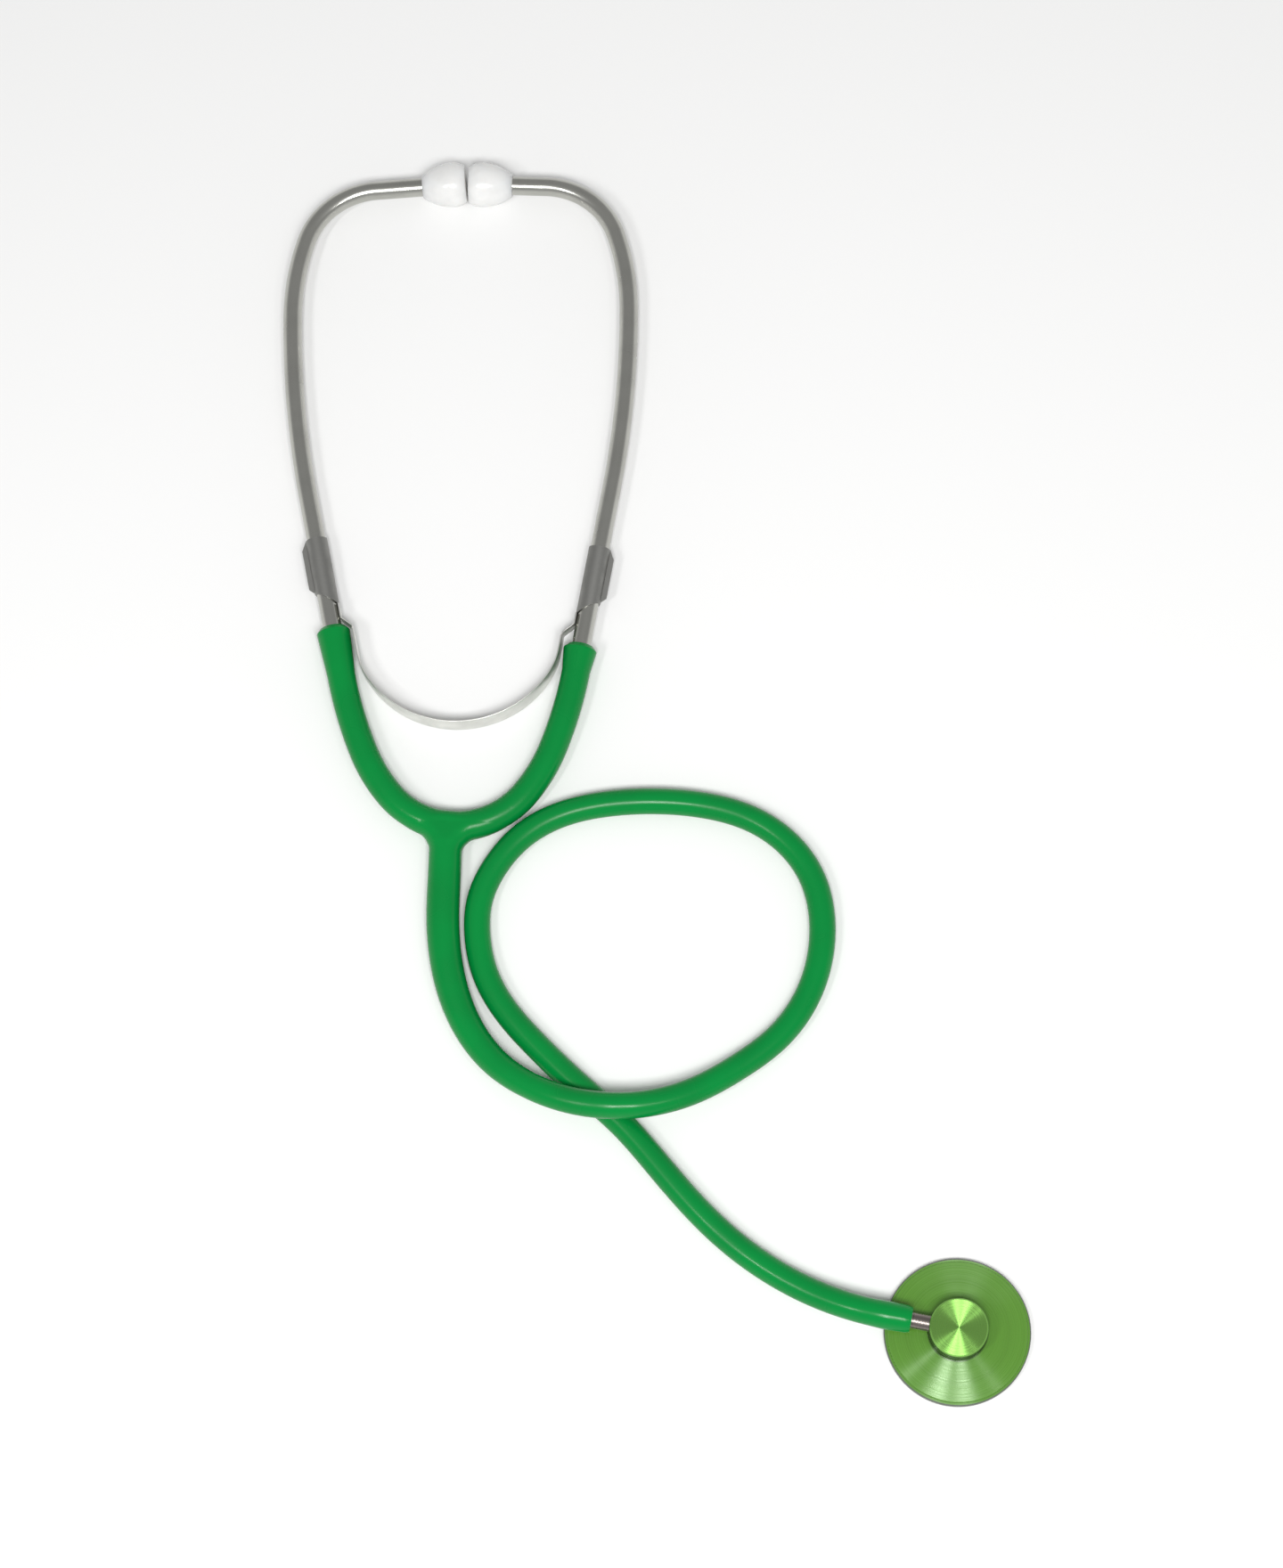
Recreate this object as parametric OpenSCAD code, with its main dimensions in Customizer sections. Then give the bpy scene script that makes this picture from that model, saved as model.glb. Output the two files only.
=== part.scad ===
// Toy stethoscope lying flat, with one loop in its tube.
// Millimetres. The origin is the centre of the sound disc's flat face, on the table.
// +Z points up and +Y runs along the headset's mirror line, towards the ear tips.

/* [Layout] */
// Distance from the sound disc back to the headset's mirror line
yoke_x = 154; // [150:1:160]
// Distance from the sound disc up to the bottom of the green yoke
yoke_y = 163.3; // [160:0.1:170]
// Side lean of the yoke's stem, in degrees
stem_lean = 2; // [0:1:6]
// Distance of the yoke's stem to the left of the mirror line
stem_shift = 3.6; // [2:0.2:5]
// Direction of the metal stem round the sound disc, in degrees
stem_turn = 168; // [160:1:175]
// Clearance between pieces that turn in each other
running_gap = 0.05; // [0.02:0.01:0.09]
// Clearance between pieces that only lie side by side
side_gap = 0.3; // [0.2:0.05:0.5]

/* [Ear tubes] */
// Outer diameter of the metal ear tubes
ear_tube_d = 6.2; // [5.6:0.1:6.6]
// Bore of the metal ear tubes
ear_tube_bore = 4.6; // [4:0.1:5]
// Outward lean of the lower straight, in degrees
splay = 10.8; // [9:0.2:12]
// Length of the lower straight above the yoke
low_straight_l = 50.9; // [45:0.1:54]
// Radius of the long bow up the side
bow_r = 350; // [300:10:400]
// Turn of the long bow, in degrees
bow_a = 10.5; // [9:0.5:12]
// Radius of the shoulder
shoulder_r = 88; // [75:1:100]
// Turn of the shoulder, in degrees
shoulder_a = 18; // [15:1:21]
// Radius of the crook that turns in to the ear
crook_r = 26; // [22:1:30]
// Turn of the crook, in degrees
crook_a = 69; // [64:1:72]

/* [Ear tips] */
// Largest diameter of an ear tip
tip_d = 15; // [14:0.2:16]
// Length of an ear tip
tip_l = 15; // [14:0.1:17]
// Diameter of the tip's neck
tip_neck_d = 7.4; // [7:0.2:8.4]
// Diameter of the tip's blunt face
tip_face_d = 12; // [10:0.2:13]
// Rise of the blunt face at its middle
tip_dome_l = 0.4; // [0.3:0.1:0.8]
// Distance of the widest place from the neck
tip_belly_l = 10.5; // [9:0.1:12]
// Depth of the socket that takes the ear tube
tip_grip_l = 9; // [7:0.5:10]
// Diameter of the sound hole
tip_hole_d = 2.4; // [1.6:0.2:3]
// Gap between the two tips, at their axes
tip_gap = 0.5; // [0.5:0.1:1]
// How much less deep the left tube sits in its tip than the middle, and the right one deeper
tip_stagger = 2.2; // [0:0.1:2.6]

/* [Spring clips] */
// Thickness of the sheet
sheet_t = 0.45; // [0.3:0.05:0.5]
// Length of a clip's sleeve on its outer side
sleeve_l = 18.4; // [16:0.2:22]
// Distance of the sleeve from the middle height of the sockets
sleeve_lift = 13.9; // [13:0.1:16]
// How much higher the left clip sits than the middle, and the right one lower
sleeve_stagger = 2.5; // [0:0.1:3]
// How far the inner side of the sleeve reaches below the outer side
sleeve_slant = 5; // [3:0.5:5.5]
// Width of the pinched fin outside the sleeve
fin_w = 1.6; // [1:0.1:2.2]
// Length of the chamfer at the top of the fin
fin_chamfer = 3; // [2:0.2:4]
// Length of the chamfer at the foot of the fin
fin_foot = 1.6; // [1:0.2:2.4]

/* [Leaf spring] */
// Width of the spring strip
strip_w = 9.5; // [8:0.5:9.5]
// Height of the strip's bow above the bottom of the yoke
strip_lift = 33.5; // [31:0.5:36]
// Radius of the strip's bow
strip_r = 35; // [33:1:36]
// Turn of one half of the bow, in degrees
strip_bow_a = 58; // [56:1:60]
// Radius of the bend where the bow meets the straight
strip_side_r = 22; // [20:1:24]
// Length of the strip's straight
strip_side_l = 7.6; // [6:0.2:8]
// How much longer the left straight is than the middle, and the right one shorter
strip_stagger = 1.9; // [0:0.1:2]
// Width of the neck between the strip and a sleeve
strip_neck_w = 5.4; // [4:0.2:7]
// Turn of the kink to the sleeve, in degrees
kink_a = 42; // [38:1:44]
// Radius of the kink
kink_r = 1.5; // [1:0.1:2]

/* [Yoke] */
// Outer diameter of the yoke's arms
arm_d = 9.2; // [8.6:0.2:9.6]
// Bore of the yoke's arms
arm_bore = 3.6; // [3:0.2:4]
// Radius of the yoke's bottom
yoke_r = 28; // [26:1:30]
// Turn of each half of the yoke's bottom, in degrees
yoke_bottom_a = 50; // [46:1:52]
// Radius of the yoke's hip
hip_r = 55; // [50:1:60]
// Turn of the yoke's hip, in degrees
hip_a = 18; // [16:1:20]
// Radius of the arm below the socket
arm_r = 140; // [120:5:160]
// Length of the straight socket end
socket_l = 12.6; // [12:0.2:16]
// How much longer the left socket end is than the middle, and the right one shorter
socket_stagger = 3.9; // [0:0.1:4]
// Outer diameter of the socket's end
socket_d = 11; // [10:0.2:11.4]
// Depth that an ear tube goes in
socket_depth = 8; // [6:0.2:8]
// Chamfer on the socket's end
socket_chamfer = 1.6; // [0.8:0.2:2]
// Diameter of the yoke's stem
stem_d = 10.6; // [9.6:0.2:11]
// Length of the yoke's stem
stem_l = 16; // [14:1:20]
// Radius of the fillets between stem and arms
crotch_r = 4; // [3:0.5:6]

/* [Tube] */
// Outer diameter of the free tube
tube_d = 8.4; // [7.6:0.1:9]
// Bore of the free tube
tube_bore = 4; // [3.4:0.2:4.2]
// Length over which the tube narrows from the yoke's stem
tube_taper_l = 80; // [60:2:100]

/* [Sound disc] */
// Diameter over the retaining ring
disc_d = 45; // [42:0.5:48]
// Width of the retaining ring seen from above
ring_w = 0.9; // [0.7:0.1:1.2]
// Height of the retaining ring
ring_h = 2.8; // [2.4:0.1:3.2]
// Width of the ring's lip under the diaphragm
lip_w = 1.9; // [1.5:0.1:2.2]
// Thickness of the ring's lip
lip_t = 0.5; // [0.4:0.05:0.6]
// Thickness of the diaphragm's edge behind the lip
diaphragm_t = 0.4; // [0.3:0.05:0.5]
// Height of the disc's edge above the table
edge_h = 3.3; // [3.1:0.1:3.6]
// Height of the cone where it meets the boss
cone_h = 5; // [4.4:0.1:5.4]
// Diameter of the central boss
boss_d = 18; // [16:0.5:20]
// Height of the boss above the table
boss_h = 13; // [12:0.5:14]
// Chamfer round the boss
boss_chamfer = 0.5; // [0.3:0.1:0.8]
// Depth of the hollow over the diaphragm
hollow_h = 1.3; // [1:0.1:1.6]
// Bore from the hollow up to the metal stem
sound_bore = 2.6; // [2:0.2:2.8]

/* [Metal stem] */
// Diameter of the metal stem
nipple_d = 5; // [4.4:0.1:5.2]
// Bore of the metal stem
nipple_bore = 3; // [2.4:0.1:3.2]
// Height of the metal stem's axis above the table
nipple_z = 9; // [8.8:0.1:9.4]
// Length of the metal stem that shows
nipple_show_l = 5.6; // [4:0.2:7]
// Length of the metal stem inside the tube
nipple_grip_l = 12; // [9:0.5:13]
// Length of the metal stem inside the boss
nipple_seat_l = 5; // [4:0.5:6]
// Height of a barb over the metal stem
barb_h = 0.3; // [0.2:0.05:0.4]
// Length of a barb
barb_l = 3; // [2:0.5:3.5]
// Number of barbs
barb_count = 3; // [2:1:3]

/* [Hidden] */
$fn = 48;
overrun = 1;
rest_gap = 0.05;
seam_l = 0.05;
seam_share = 1.01;
skin = 0.1;
web_share = 0.5;

// Headings are degrees anticlockwise from +Y, and a place is [x, y, heading].
// A run is [length, 0] for a straight or [radius, turn] for a bend, positive to the left.
function after_run(p, run) =
    run[1] == 0
    ? [p[0] - run[0] * sin(p[2]), p[1] + run[0] * cos(p[2]), p[2]]
    : let (side = sign(run[1]) * run[0], h = p[2] + run[1])
      [p[0] - side * cos(p[2]) + side * cos(h), p[1] - side * sin(p[2]) + side * sin(h), h];
function walk(p, runs, count) =
    count == 0 ? p : after_run(walk(p, runs, count - 1), runs[count - 1]);
function path_end(p, runs) = walk(p, runs, len(runs));

// The left side's sockets, clips and straights stand higher than the right side's
function staggered(left, amount) = left ? amount : -amount;

// Yoke: from the bottom of the U out to the foot of a socket
yoke_runs = [
    [yoke_r, yoke_bottom_a],
    [hip_r, hip_a],
    [arm_r, 90 - yoke_bottom_a - hip_a - splay],
];
yoke_start = [0, 0, -90];
arm_end = path_end(yoke_start, yoke_runs);
socket_middle = after_run(arm_end, [socket_l, 0]);
function socket_length(left) = socket_l + staggered(left, socket_stagger);

// Ear tube: from inside the socket up to inside the ear tip
crook_runs = [[bow_r, bow_a], [shoulder_r, shoulder_a], [crook_r, crook_a]];
crook_end = path_end(after_run(socket_middle, [low_straight_l, 0]), crook_runs);
tip_run_l = (crook_end[0] - tip_gap / 2) / sin(crook_end[2]) - tip_l + tip_grip_l;
function tip_grip(left) = tip_grip_l - staggered(left, tip_stagger);
function tip_start(left) = after_run(crook_end, [tip_run_l - tip_grip(left), 0]);
function ear_tube_start(left) = after_run(arm_end, [socket_length(left) - socket_depth, 0]);
function ear_tube_runs(left, extra) = concat(
    [[low_straight_l - staggered(left, socket_stagger) + socket_depth + extra, 0]],
    crook_runs,
    [[tip_run_l + extra, 0]]
);

// Sleeve: its sheet lies round the lower straight
sleeve_r = ear_tube_d / 2 + running_gap;
function sleeve_start(left) = after_run(socket_middle, [sleeve_lift + staggered(left, sleeve_stagger), 0]);

// Leaf spring: the bow, the straight beside the arm, and the kink out to the sleeve's inner wall
wall_offset = sleeve_r + sheet_t / 2;
strip_start = [0, strip_lift, -90];
function strip_bow_runs(left) = [
    [strip_r, strip_bow_a],
    [strip_side_r, 90 - strip_bow_a - splay],
    [strip_side_l + staggered(left, strip_stagger), 0],
];
function strip_bow_end(left) = path_end(strip_start, strip_bow_runs(left));
wall_shift = (socket_middle[0] - strip_bow_end(false)[0]) * cos(splay)
    - (socket_middle[1] - strip_bow_end(false)[1]) * sin(splay) - wall_offset;
kink_l = (wall_shift - 2 * kink_r * (1 - cos(kink_a))) / sin(kink_a);
kink_runs = [[kink_r, -kink_a], [kink_l, 0], [kink_r, kink_a]];
function kink_end(left) = path_end(strip_bow_end(left), kink_runs);
function strip_tab_l(left) = (sleeve_start(left)[0] - kink_end(left)[0]) * sin(splay)
    + (sleeve_start(left)[1] - kink_end(left)[1]) * cos(splay) - sleeve_slant - side_gap;

// The headset rests on its two ear tips and on the yoke's stem
tip_axis = after_run(crook_end, [tip_run_l - tip_grip_l + tip_belly_l, 0]);
headset_tilt = asin((tip_d - stem_d) / 2 / (tip_axis[1] + stem_l));
yoke_z = stem_d / 2 + rest_gap + stem_l * sin(headset_tilt);
stem_rise = yoke_r - sqrt(yoke_r * yoke_r - stem_shift * stem_shift);
stem_drop = stem_l * cos(stem_lean) - stem_rise;
stem_end = [
    -yoke_x - stem_shift - stem_l * sin(stem_lean),
    yoke_y - stem_drop * cos(headset_tilt),
    yoke_z - stem_drop * sin(headset_tilt),
];

// Sound disc
disc_r = disc_d / 2;
body_r = disc_r - ring_w - running_gap;
seat_z = lip_t + diaphragm_t;
tube_end_l = boss_d / 2 + nipple_show_l;

// Route of the free tube, from the yoke's stem to the metal stem
tube_route = [
    stem_end,
    [-158.6, 135, 5.35], [-157.9, 122, 5.3], [-155.2, 109, 5.15], [-150.2, 97, 5.2],
    [-142.8, 86.8, 6.2], [-133, 78.8, 8.8], [-120.8, 73, 11.5], [-107.5, 70.2, 12.9],
    [-94, 70.7, 12], [-79, 75.4, 8.9], [-65, 83.5, 6], [-53, 92.8, 4.6],
    [-44.5, 104, 4.25], [-39.6, 117, 4.25], [-38.4, 131, 4.25], [-41.3, 144.5, 4.25],
    [-49, 156, 4.25], [-60.5, 164.2, 4.25], [-75, 168.8, 4.25], [-91, 170.5, 4.25],
    [-107, 169.8, 4.25], [-120, 167, 4.25], [-132, 160.8, 4.25], [-141.6, 150.5, 4.25],
    [-147, 138.5, 4.25], [-147.6, 127, 4.25], [-145, 114.5, 4.25], [-138, 101.8, 4.25],
    [-127.5, 89.8, 4.25], [-115.6, 78.1, 4.25], [-102.8, 66.4, 4.25], [-91.6, 53.4, 4.25],
    [-80.2, 39.8, 4.25], [-68.4, 28.2, 4.25], [-55.4, 18.6, 4.6], [-42.2, 11.4, 6.2],
    (tube_end_l + nipple_grip_l) * [cos(stem_turn), sin(stem_turn), 0] + [0, 0, nipple_z],
    tube_end_l * [cos(stem_turn), sin(stem_turn), 0] + [0, 0, nipple_z],
];
tube_sides = 10;

// Places a piece in the headset's own plane, which tilts up to the ear tips
module in_headset() {
    translate([-yoke_x, yoke_y, yoke_z])
        rotate([headset_tilt, 0, 0])
            children();
}

// Copies a right-hand piece to the left
module handed(left) {
    mirror([left ? 1 : 0, 0, 0])
        children();
}

// A hair-thin plate that closes the joint between two runs
module seam(p) {
    at_place(p)
        linear_extrude(seam_l, center = true)
            scale(seam_share)
                children();
}

// Sweeps a flat profile along runs of straights and bends, from a place
module swept(start, runs) {
    for (i = [0 : len(runs) - 1]) {
        p = walk(start, runs, i);
        run = runs[i];
        if (i > 0)
            seam(p)
                children();
        translate([p[0], p[1], 0])
            rotate(p[2])
                if (run[1] == 0)
                    rotate([-90, 0, 0])
                        linear_extrude(run[0])
                            children();
                else
                    mirror([run[1] < 0 ? 1 : 0, 0, 0])
                        translate([-run[0], 0, 0])
                            rotate_extrude(angle = abs(run[1]))
                                translate([run[0], 0])
                                    children();
    }
}

module at_place(p) {
    translate([p[0], p[1], 0])
        rotate(p[2])
            rotate([-90, 0, 0])
                children();
}

// Half outline of an ear tip from neck to face, as [radius, length]
function tip_outline(steps) = concat(
    [for (i = [0 : steps]) let (u = i / steps)
        [tip_neck_d / 2 + (tip_d - tip_neck_d) / 2 * u * (2 - u), tip_belly_l * u]],
    [for (i = [1 : steps]) let (u = i / steps, face_u = acos(tip_face_d / tip_d))
        [tip_d / 2 * cos(face_u * u),
         tip_belly_l + (tip_l - tip_dome_l - tip_belly_l) * sin(face_u * u) / sin(face_u)]]
);

module ear_tip(left) {
    color("white")
        in_headset() handed(left) at_place(tip_start(left))
            difference() {
                rotate_extrude()
                    polygon(concat([[0, 0]], tip_outline(9), [[0, tip_l]]));
                translate([0, 0, -overrun])
                    cylinder(d = ear_tube_d + 2 * running_gap, h = tip_grip(left) + overrun + running_gap);
                cylinder(d = tip_hole_d, h = tip_l + overrun);
            }
}

module ear_tube(left) {
    color("silver")
        in_headset() handed(left)
            difference() {
                swept(ear_tube_start(left), ear_tube_runs(left, 0))
                    circle(d = ear_tube_d);
                swept(after_run(ear_tube_start(left), [-overrun, 0]), ear_tube_runs(left, overrun))
                    circle(d = ear_tube_bore);
            }
}

// A sheet wrapped round the tube, its two edges pinched into an outer fin
module spring_clip(left) {
    outer_r = sleeve_r + sheet_t;
    color("gray")
        in_headset() handed(left) at_place(sleeve_start(left))
            difference() {
                union() {
                    translate([0, 0, -sleeve_slant - overrun])
                        cylinder(r = outer_r, h = sleeve_l + sleeve_slant + overrun);
                    rotate([90, 0, 0])
                        linear_extrude(2 * sheet_t, center = true)
                            polygon([
                                [0, sheet_t], [outer_r, sheet_t], [outer_r + fin_w, sheet_t + fin_foot],
                                [outer_r + fin_w, sleeve_l - fin_chamfer], [outer_r, sleeve_l],
                                [0, sleeve_l],
                            ]);
                }
                translate([0, 0, -sleeve_slant - 2 * overrun])
                    cylinder(r = sleeve_r, h = sleeve_l + sleeve_slant + 3 * overrun);
                slant_a = atan(sleeve_slant / (2 * outer_r));
                translate([-outer_r, 0, -sleeve_slant])
                    rotate([0, -slant_a, 0])
                        translate([-overrun, -outer_r - overrun, -2 * outer_r])
                            cube([4 * outer_r, 2 * (outer_r + overrun), 2 * outer_r]);
            }
}

module leaf_spring() {
    color("lightgray")
        in_headset()
            for (left = [false, true])
                handed(left) {
                    swept(strip_start, strip_bow_runs(left))
                        square([sheet_t, strip_w], center = true);
                    seam(strip_bow_end(left))
                        square([sheet_t, strip_neck_w], center = true);
                    swept(strip_bow_end(left), concat(kink_runs, [[strip_tab_l(left), 0]]))
                        square([sheet_t, strip_neck_w], center = true);
                }
}

// A round sweep of one bow below and a hip and an arm on each side
module yoke_sweep(d) {
    bow_end = walk(yoke_start, yoke_runs, 1);
    swept([-bow_end[0], bow_end[1], -180 - bow_end[2]], [[yoke_r, 2 * yoke_bottom_a]])
        circle(d = d);
    for (left = [false, true])
        handed(left) {
            seam(bow_end)
                circle(d = d);
            swept(bow_end, [yoke_runs[1], yoke_runs[2]])
                circle(d = d);
        }
}

module yoke_socket(length) {
    at_place(arm_end)
        translate([0, 0, -seam_l])
            rotate_extrude()
                polygon([
                    [0, 0], [seam_share * arm_d / 2, 0], [socket_d / 2, length - socket_chamfer],
                    [socket_d / 2 - socket_chamfer, length + seam_l], [0, length + seam_l],
                ]);
}

module yoke_stem() {
    rotate([90, 0, 0]) {
        cylinder(d1 = arm_d - 2 * skin, d2 = stem_d, h = crotch_r);
        translate([0, 0, crotch_r])
            cylinder(d = stem_d, h = stem_l - crotch_r);
    }
}

// Places a piece on the bow's centre line, pointing along the stem
module at_stem() {
    translate([-stem_shift, stem_rise, 0])
        rotate(-stem_lean)
            children();
}

// A web that fills the corners between stem and arms with a fillet on each side
module yoke_crotch() {
    bow_middle = [
        stem_shift * cos(stem_lean) - (yoke_r - stem_rise) * sin(stem_lean),
        stem_shift * sin(stem_lean) + (yoke_r - stem_rise) * cos(stem_lean),
    ];
    reach = yoke_r + arm_d / 2 + crotch_r - skin;
    fillets = [for (side = [-1, 1]) let (x = side * (stem_d / 2 + crotch_r - skin))
        [x, bow_middle[1] - sqrt(reach * reach - pow(x - bow_middle[0], 2))]];
    touches = [for (f = fillets) f + (bow_middle - f) * crotch_r / reach];
    linear_extrude(web_share * arm_d, center = true)
        difference() {
            polygon([
                [0, 0], touches[0], [touches[0][0], fillets[0][1]], [0, fillets[0][1]],
                [0, fillets[1][1]], [touches[1][0], fillets[1][1]], touches[1],
            ]);
            for (f = fillets)
                translate(f)
                    circle(r = crotch_r);
        }
}

module yoke_tube() {
    color("green")
        in_headset()
            difference() {
                union() {
                    yoke_sweep(arm_d);
                    for (left = [false, true])
                        handed(left) yoke_socket(socket_length(left));
                    at_stem() {
                        yoke_stem();
                        yoke_crotch();
                    }
                }
                yoke_sweep(arm_bore);
                for (left = [false, true])
                    handed(left) {
                        at_place(arm_end)
                            translate([0, 0, -seam_l])
                                cylinder(d = seam_share * arm_bore, h = socket_length(left));
                        at_place(ear_tube_start(left))
                            cylinder(d = ear_tube_d + 2 * running_gap, h = socket_depth + overrun);
                    }
                at_stem()
                    rotate([90, 0, 0])
                        cylinder(d = arm_bore - skin, h = stem_l + overrun);
            }
}

// Sweep of the free tube along its route
function unit(v) = v / norm(v);
function route_length(i) = i == 0 ? 0 : route_length(i - 1) + norm(tube_route[i] - tube_route[i - 1]);
function heading_at(i) =
    let (last = len(tube_route) - 1)
    i == 0
    ? [-sin(stem_lean), -cos(stem_lean) * cos(headset_tilt), -cos(stem_lean) * sin(headset_tilt)]
    : i >= last - 1 ? unit(tube_route[last] - tube_route[last - 1])
    : unit(tube_route[i + 1] - tube_route[i - 1]);
function tube_r_at(i) =
    tube_d / 2 + (stem_d - tube_d) / 2 * max(0, 1 - pow(route_length(i) / tube_taper_l, 2));
function tube_ring(i, r) =
    let (t = heading_at(i), side = unit(cross(t, [0, 0, 1])), up = cross(side, t))
    [for (k = [0 : tube_sides - 1]) let (a = 360 * k / tube_sides + 90)
        tube_route[i] + r * (cos(a) * side + sin(a) * up)];

module acoustic_tube() {
    rings = len(tube_route);
    outer = [for (i = [0 : rings - 1]) each tube_ring(i, tube_r_at(i))];
    inner = [for (i = [0 : rings - 1]) each tube_ring(i, tube_bore / 2)];
    shift = rings * tube_sides;
    function at(i, k) = i * tube_sides + k % tube_sides;
    walls = [for (i = [0 : rings - 2], k = [0 : tube_sides - 1], half = [0, 1])
        half == 0
        ? [at(i, k), at(i + 1, k), at(i + 1, k + 1)]
        : [at(i, k), at(i + 1, k + 1), at(i, k + 1)]];
    bore_walls = [for (f = walls) [f[2] + shift, f[1] + shift, f[0] + shift]];
    near_end = [for (k = [0 : tube_sides - 1], half = [0, 1])
        half == 0
        ? [at(0, k), at(0, k + 1), at(0, k + 1) + shift]
        : [at(0, k), at(0, k + 1) + shift, at(0, k) + shift]];
    far_end = [for (k = [0 : tube_sides - 1], half = [0, 1])
        half == 0
        ? [at(rings - 1, k + 1), at(rings - 1, k), at(rings - 1, k + 1) + shift]
        : [at(rings - 1, k), at(rings - 1, k) + shift, at(rings - 1, k + 1) + shift]];
    color("green")
        polyhedron(concat(outer, inner), concat(walls, bore_walls, near_end, far_end));
}

// Turned disc: skirt, edge, shallow cone and boss, hollow below
module chestpiece_disc() {
    color("yellowgreen")
        difference() {
            rotate_extrude()
                polygon([
                    [0, seat_z + hollow_h], [body_r - lip_w - lip_t, seat_z + lip_t],
                    [body_r - lip_w, seat_z], [body_r, seat_z], [body_r, edge_h - lip_t / 2],
                    [body_r - lip_t / 2, edge_h], [boss_d / 2, cone_h],
                    [boss_d / 2, boss_h - boss_chamfer], [boss_d / 2 - boss_chamfer, boss_h],
                    [0, boss_h],
                ]);
            cylinder(d = sound_bore, h = nipple_z);
            at_metal_stem()
                translate([0, 0, boss_d / 2 - nipple_seat_l])
                    cylinder(d = nipple_d + 2 * running_gap, h = nipple_seat_l + overrun);
            at_metal_stem()
                cylinder(d = nipple_bore, h = boss_d / 2);
        }
}

module at_metal_stem() {
    translate([0, 0, nipple_z])
        rotate(stem_turn)
            rotate([0, 90, 0])
                children();
}

module retaining_ring() {
    color("silver")
        rotate_extrude()
            polygon([
                [disc_r - lip_w - ring_w, 0], [disc_r - lip_t / 2, 0], [disc_r, lip_t / 2],
                [disc_r, ring_h - lip_t / 2], [disc_r - lip_t / 2, ring_h],
                [disc_r - ring_w, ring_h], [disc_r - ring_w, lip_t], [disc_r - lip_w - ring_w, lip_t],
            ]);
}

module diaphragm() {
    color("whitesmoke")
        rotate_extrude()
            polygon([
                [0, 0], [disc_r - lip_w - ring_w - running_gap, 0],
                [disc_r - lip_w - ring_w - running_gap, lip_t],
                [body_r, lip_t], [body_r, seat_z], [0, seat_z],
            ]);
}

module metal_stem() {
    barb_pitch = (nipple_grip_l - barb_l / 2) / barb_count;
    whole_l = nipple_seat_l + nipple_show_l + nipple_grip_l;
    color("silver")
        at_metal_stem()
            translate([0, 0, boss_d / 2 - nipple_seat_l])
                difference() {
                    union() {
                        cylinder(d = nipple_d, h = whole_l);
                        for (i = [1 : barb_count])
                            translate([0, 0, nipple_seat_l + nipple_show_l + i * barb_pitch - barb_l])
                                cylinder(d1 = nipple_d + 2 * barb_h, d2 = nipple_d, h = barb_l);
                    }
                    translate([0, 0, -overrun])
                        cylinder(d = nipple_bore, h = whole_l + 2 * overrun);
                }
}

ear_tip(true);  // ear_tip_left
ear_tip(false);  // ear_tip_right
ear_tube(true);  // ear_tube_left
ear_tube(false);  // ear_tube_right
spring_clip(true);  // spring_clip_left
spring_clip(false);  // spring_clip_right
leaf_spring();
yoke_tube();
acoustic_tube();
chestpiece_disc();
retaining_ring();
diaphragm();
metal_stem();
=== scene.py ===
"""Looks of the toy stethoscope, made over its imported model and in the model's own frame.

Metres. The origin is the centre of the sound disc's flat face, on the table,
with +Z up and +Y along the headset to the ear tips.
"""

import math

import bmesh
import bpy
import numpy as np
from bpy.props import FloatProperty, FloatVectorProperty, IntProperty, PointerProperty
from mathutils import Matrix, Vector


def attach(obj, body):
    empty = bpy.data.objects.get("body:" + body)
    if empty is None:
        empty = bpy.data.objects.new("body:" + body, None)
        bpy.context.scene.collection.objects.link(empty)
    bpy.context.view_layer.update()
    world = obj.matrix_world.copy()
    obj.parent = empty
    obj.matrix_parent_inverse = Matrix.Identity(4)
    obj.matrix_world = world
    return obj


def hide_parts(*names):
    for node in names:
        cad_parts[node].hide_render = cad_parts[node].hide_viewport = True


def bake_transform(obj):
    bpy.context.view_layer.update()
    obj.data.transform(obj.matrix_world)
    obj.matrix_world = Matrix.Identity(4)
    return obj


bl_info = {
    "name": "Toy Stethoscope",
    "version": (1, 0, 0),
    "blender": (4, 5, 0),
    "location": "View3D > Sidebar > Stethoscope",
    "description": "Builds the soft tube, headset and sound disc of a toy stethoscope",
    "category": "Object",
}

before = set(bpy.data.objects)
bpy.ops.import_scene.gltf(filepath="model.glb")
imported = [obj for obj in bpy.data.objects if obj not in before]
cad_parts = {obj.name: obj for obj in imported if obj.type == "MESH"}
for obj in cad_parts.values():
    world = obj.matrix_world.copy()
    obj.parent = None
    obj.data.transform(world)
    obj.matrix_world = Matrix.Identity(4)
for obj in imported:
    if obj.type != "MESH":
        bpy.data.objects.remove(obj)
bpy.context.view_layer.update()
MM = 0.001

# The headset's own plane tilts up to the ear tips, which rest on the table with the yoke's stem
HEADSET = (Matrix.Translation((-0.154, 0.1633, 0.0054968))
           @ Matrix.Rotation(math.radians(0.5258), 4, "X"))
SIDES = (("left", -1), ("right", 1))

# The yoke's stem: where its axis meets the centre line of the bow, how far it leans, where it
# starts and ends below that line, and the length over which the arms' height grows into its own
STEM_FOOT = (-3.6, 0.2324)
STEM_LEAN = math.radians(2)
STEM_TOP = 3
STEM_LENGTH = 16
STEM_GROWTH = 6
# Two rings (distance down the stem, radius) of the sleeve inside the joint to the free tube
SLEEVE = ((15, 5.15), (19, 5.05))
# The metal stem's direction on the table, turned back to X
METAL_STEM_TURN = math.radians(12)

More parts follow.
